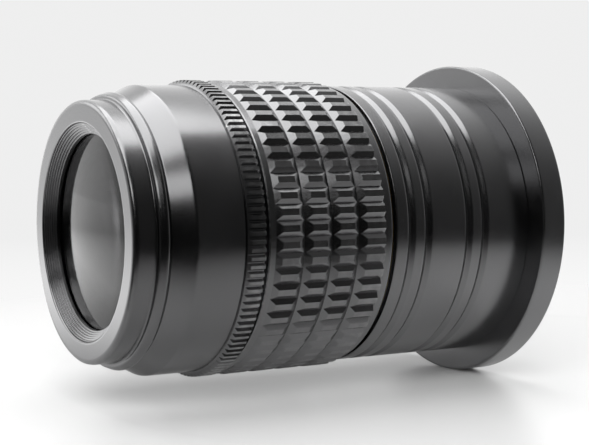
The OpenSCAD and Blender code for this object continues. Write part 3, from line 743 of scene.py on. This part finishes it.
def front_barrel():
    web_base = cone_top - joint_len - web_len
    seam_base = knurl_top + seam_play
    seam_r = front_barrel_r - seam_wall
    return turned("front_barrel_shell", [
        (slide_r, front_barrel_base, 0), (seam_r, front_barrel_base, 0),
        (seam_r, seam_base, 0), (front_barrel_r, seam_base, hair_round),
        (front_barrel_r, cone_top - cone_len, cone_round), (cone_small_r, cone_top, fine_round),
        (joint_r, cone_top, 0), (joint_r, cone_top - joint_len, 0), (mouth_r, cone_top - joint_len, 0),
        (mouth_r, web_base, 0), (slide_r, web_base, 0),
    ])


def filter_ring():
    collar_base = cone_top + collar_back_len
    collar_cone_base = collar_base + collar_edge
    ring_base = collar_cone_base + collar_cone_len
    return turned("filter_ring_front", [
        (mouth_r, cone_top - joint_len, 0), (joint_r, cone_top - joint_len, 0), (joint_r, cone_top, 0),
        (cone_small_r, cone_top, fine_round), (collar_r, collar_base, collar_round),
        (collar_r, collar_cone_base, collar_round), (collar_front_r, ring_base, collar_foot_round),
        (front_ring_r, ring_base, collar_round), (front_ring_r, lens_len, front_round),
        (mouth_r, lens_len, mouth_round),
    ])


def ridged_ring():
    step_r = (mouth_r - front_clear_r) / ridge_count
    step_h = ridge_drop / ridge_count
    outline = [(front_clear_r, ridged_base, 0), (mouth_r, ridged_base, 0)]
    for i in range(ridge_count):
        top = lens_len - (i + 1) * step_h
        outline.append((mouth_r - i * step_r, top, ridge_foot_round if i else 0))
        outline.append((mouth_r - (i + 1) * step_r, top, fine_round))
    return turned("ridged_ring_steps", outline)


def glass_face(radius, height, curve, steps=24):
    """Points of a bulging face from the axis out to its edge."""
    drop = math.sqrt(curve ** 2 - radius ** 2)
    return [(radius * i / steps, height + math.sqrt(curve ** 2 - (radius * i / steps) ** 2) - drop)
            for i in range(steps + 1)]


def front_glass():
    face_r = cell_r - front_glass_rim
    edge_top = ridged_base - front_glass_play
    edge_low = glass_seat + back_curve_r - math.sqrt(back_curve_r ** 2 - face_r ** 2)
    front = glass_face(face_r, edge_top, front_curve_r)
    back = [(r, 2 * edge_low - h) for r, h in glass_face(face_r, edge_low, back_curve_r)]
    outline = front + [(cell_r, edge_top), (cell_r, edge_low)] + back[::-1]
    segments = 192
    work = bmesh.new()
    loops = [[work.verts.new(laid_point(r, h, 2 * math.pi * s / segments)) for r, h in outline]
             for s in range(segments)]
    for s in range(segments):
        here, there = loops[s], loops[(s + 1) % segments]
        for i in range(len(outline) - 1):
            work.faces.new((here[i], here[i + 1], there[i + 1], there[i]))
    bmesh.ops.remove_doubles(work, verts=work.verts, dist=1e-7)
    bmesh.ops.recalc_face_normals(work, faces=work.faces)
    mesh = bpy.data.meshes.new("front_glass_dome")
    work.to_mesh(mesh)
    work.free()
    smooth_all(mesh)
    return weighted(link_object("front_glass_dome", mesh))


for node_name, carried in frame["nodes"].items():
    slot_name = next(p["material_slot"] for p in frame["record"]["subparts"] if p["node"] == node_name)
    carried.data.materials.clear()
    carried.data.materials.append(MATERIALS[slot_name])

dress(mount_flange(), "fixed_body", "black_anodised", "mount_flange")
dress(rear_barrel(), "fixed_body", "black_anodised", "rear_barrel")
dress(focus_ring(), "focus", "black_anodised", "focus_ring")
dress(focus_grip(), "focus", "black_anodised", "focus_grip")
dress(aperture_ring(), "aperture", "black_anodised", "aperture_ring")
dress(front_barrel(), "front_group", "black_anodised", "front_barrel")
dress(filter_ring(), "front_group", "black_anodised", "filter_ring")
dress(ridged_ring(), "front_group", "black_anodised", "ridged_ring")
dress(front_glass(), "front_group", "coated_glass", "front_glass")


# Stage, light and camera

BACKDROP = 0.86
NEAR_BACKDROP = 0.955
FLOOR_TONE = 0.16
FLOOR_HALF = 6.0
CAMERA_SIDE = (0.866, -0.5, 0)
TOWARDS_CAMERA = Vector((0.8632, -0.5002, 0.0672))
CAMERA_PLACE = Vector((312.27, -235.55, 24.74)) * MM
FOCAL_LENGTH = 85.95

# The room's brightness falls from one direction to the other, measured along CAMERA_SIDE

ROOM_FALL = (-0.6, 0.5)
ROOM_FALL_POWER = 1.8
ROOM_BRIGHT = 1.3
ROOM_DIM = (0.05, 0.006)
ROOM_DIM_FALL = (0.5, 0.95)

# Where the floor changes from its lit surface to its glow, in metres from the origin or along CAMERA_SIDE

SEEN_GLOW = (0.12, 0.22)
MIRRORED_GLOW = (0.09, 0.2)
CAMERA_SIDE_GLOW = (0.04, 0.17)
BACKDROP_FALL = (0.15, 0.5)

# The floor's glow in reflections: a lift of the room's brightness, and more ahead of the lens

GLOW_LIFT = (1.6, 1.05)
GLOW_LIFT_FALL = (0.15, 0.6)
AHEAD_START = (-0.11, -0.19)
AHEAD_GLOW = (1.8, 0.2)
AHEAD_FALL = (0.22, 0.66)
AHEAD_SIDE = (0.03, 0.1)

# Lamps: name, place, aim, turn in degrees, size, brightness, whether reflections show it

LAMPS = (
    ("overhead_softbox", (-0.069, -0.249, 0.5), (-0.069, -0.249, 0), 20, (0.54, 0.78), 3.3, True),
    ("left_softbox", (-0.62, -0.56, 0.42), (0, 0, 0), 0, (0.5, 0.4), 2.0, True),
    ("shadow_softbox", (-0.12, 0.01, 0.55), (0, -0.06, 0), 30, (0.4, 0.7), 11.0, False),
    ("camera_side_fill", (0.62, -0.5, 0.42), (0, 0, 0), 0, (1.0, 0.7), 26.0, False),
    ("flange_softbox", (0.5, -0.58, 0.48), (0, 0, 0), 0, (0.4, 0.26), 2.6, True),
)


def camera():
    data = bpy.data.cameras.new("photo_camera")
    data.lens = FOCAL_LENGTH
    data.sensor_width = 36
    data.clip_start = 0.01
    data.clip_end = 20
    made = bpy.data.objects.new("photo_camera", data)
    made.location = CAMERA_PLACE
    made.rotation_mode = "QUATERNION"
    made.rotation_quaternion = (-TOWARDS_CAMERA).to_track_quat("-Z", "Y")
    bpy.context.scene.collection.objects.link(made)
    bpy.context.scene.camera = made


def room_tone_group():
    """Brightness of the white room by direction: full away from the camera, dark behind it."""
    tree = new_group("room_tone")
    add_socket(tree, "Direction", "NodeSocketVector")
    add_socket(tree, "Tone", "NodeSocketFloat", output=True)
    nodes, links = tree.nodes, tree.links
    inputs = nodes.new("NodeGroupInput")
    result = nodes.new("NodeGroupOutput")
    unit = nodes.new("ShaderNodeVectorMath")
    unit.operation = "NORMALIZE"
    links.new(inputs.outputs[0], unit.inputs[0])
    dot = nodes.new("ShaderNodeVectorMath")
    dot.operation = "DOT_PRODUCT"
    links.new(unit.outputs[0], dot.inputs[0])
    dot.inputs[1].default_value = CAMERA_SIDE
    away = range_node(nodes, links, dot.outputs["Value"], 1.0, 0.0, *ROOM_FALL)
    fall = math_node(nodes, links, "POWER", away, ROOM_FALL_POWER)
    bright = range_node(nodes, links, fall, 0.0, ROOM_BRIGHT)
    dim = range_node(nodes, links, dot.outputs["Value"], *ROOM_DIM, *ROOM_DIM_FALL)
    links.new(math_node(nodes, links, "ADD", bright, dim), result.inputs["Tone"])
    return tree


ROOM = room_tone_group()


def floor_mask(nodes, links, path, distance, side):
    """Mask of the floor's glow: off near the lens, and off for rays that aren't seen or mirrored."""
    far = range_node(nodes, links, distance, 0.0, 1.0, *SEEN_GLOW)
    far_mirrored = range_node(nodes, links, distance, 0.0, 1.0, *MIRRORED_GLOW)
    near_camera = range_node(nodes, links, side, 0.0, 1.0, *CAMERA_SIDE_GLOW)
    farther = math_node(nodes, links, "MAXIMUM", near_camera, far_mirrored)
    mirrored = math_node(nodes, links, "MULTIPLY", farther, path.outputs["Is Glossy Ray"])
    reach = math_node(nodes, links, "MAXIMUM", far, mirrored)
    direct = math_node(nodes, links, "MAXIMUM", path.outputs["Is Camera Ray"], path.outputs["Is Glossy Ray"])
    seen = math_node(nodes, links, "MAXIMUM", direct, path.outputs["Is Transmission Ray"])
    return math_node(nodes, links, "MULTIPLY", reach, seen)


def mirrored_glow(nodes, links, place, distance, side):
    """Brightness of the floor's glow in reflections."""
    room = place_group(nodes, ROOM)
    links.new(place, room.inputs["Direction"])
    lift = range_node(nodes, links, distance, *GLOW_LIFT, *GLOW_LIFT_FALL)
    room_part = math_node(nodes, links, "MULTIPLY", room.outputs["Tone"], lift)
    split = nodes.new("ShaderNodeSeparateXYZ")
    links.new(place, split.inputs[0])
    ahead = range_node(nodes, links, split.outputs["Y"], 0.0, 1.0, *AHEAD_START)
    fade = range_node(nodes, links, distance, *AHEAD_GLOW, *AHEAD_FALL)
    far_side = range_node(nodes, links, side, 1.0, 0.0, *AHEAD_SIDE)
    open_floor = math_node(nodes, links, "MULTIPLY", ahead, far_side)
    front_part = math_node(nodes, links, "MULTIPLY", open_floor, fade)
    return math_node(nodes, links, "ADD", room_part, front_part)


def floor():
    """Pale floor that blends into the room's tone, lit by the lamps only round the lens."""
    mesh = bpy.data.meshes.new("floor")
    corners = [(x * FLOOR_HALF, y * FLOOR_HALF, -flange_r) for x, y in ((-1, -1), (1, -1), (1, 1), (-1, 1))]
    mesh.from_pydata(corners, [], [(0, 1, 2, 3)])
    piece = link_object("floor", mesh)
    material, nodes, links, shader = new_material("pale_floor")
    shader.inputs["Base Color"].default_value = (FLOOR_TONE, FLOOR_TONE, FLOOR_TONE, 1)
    shader.inputs["Roughness"].default_value = 0.3
    shader.inputs["Specular IOR Level"].default_value = 0.25
    place = nodes.new("ShaderNodeTexCoord").outputs["Object"]
    path = nodes.new("ShaderNodeLightPath")
    length = nodes.new("ShaderNodeVectorMath")
    length.operation = "LENGTH"
    links.new(place, length.inputs[0])
    distance = length.outputs["Value"]
    along = nodes.new("ShaderNodeVectorMath")
    along.operation = "DOT_PRODUCT"
    links.new(place, along.inputs[0])
    along.inputs[1].default_value = CAMERA_SIDE
    side = along.outputs["Value"]
    choice = nodes.new("ShaderNodeMix")
    choice.data_type = "FLOAT"
    links.new(path.outputs["Is Camera Ray"], choice.inputs["Factor"])
    links.new(mirrored_glow(nodes, links, place, distance, side), choice.inputs[2])
    links.new(range_node(nodes, links, distance, NEAR_BACKDROP, BACKDROP, *BACKDROP_FALL), choice.inputs[3])
    glow = nodes.new("ShaderNodeEmission")
    links.new(choice.outputs[0], glow.inputs["Strength"])
    mix = nodes.new("ShaderNodeMixShader")
    links.new(floor_mask(nodes, links, path, distance, side), mix.inputs["Fac"])
    links.new(shader.outputs[0], mix.inputs[1])
    links.new(glow.outputs[0], mix.inputs[2])
    links.new(mix.outputs[0], nodes["Material Output"].inputs["Surface"])
    mesh.materials.append(material)


def softbox(name, place, aim, turn, size, brightness, mirrored):
    """Flat lamp that looks from one place at another; its brightness counts the display's white as 1."""
    data = bpy.data.lights.new(name, "AREA")
    data.shape = "RECTANGLE"
    data.size, data.size_y = size
    data.energy = brightness * math.pi * size[0] * size[1]
    made = bpy.data.objects.new(name, data)
    made.location = place
    look = (Vector(aim) - Vector(place)).to_track_quat("-Z", "Y")
    made.rotation_mode = "QUATERNION"
    made.rotation_quaternion = look @ Quaternion((0, 0, 1), math.radians(turn))
    made.visible_glossy = mirrored
    made.visible_transmission = mirrored
    bpy.context.scene.collection.objects.link(made)


def studio_world():
    world = bpy.data.worlds.new("studio")
    world.use_nodes = True
    bpy.context.scene.world = world
    nodes, links = world.node_tree.nodes, world.node_tree.links
    background = nodes["Background"]
    place = nodes.new("ShaderNodeTexCoord")
    room = place_group(nodes, ROOM)
    links.new(place.outputs["Generated"], room.inputs["Direction"])
    path = nodes.new("ShaderNodeLightPath")
    mix = nodes.new("ShaderNodeMix")
    mix.data_type = "FLOAT"
    links.new(path.outputs["Is Camera Ray"], mix.inputs["Factor"])
    links.new(room.outputs["Tone"], mix.inputs[2])
    mix.inputs[3].default_value = BACKDROP
    background.inputs["Color"].default_value = (1, 1, 1, 1)
    links.new(mix.outputs[0], background.inputs["Strength"])


camera()
floor()
studio_world()
for lamp in LAMPS:
    softbox(*lamp)

scene = bpy.context.scene
scene.view_settings.view_transform = "Standard"
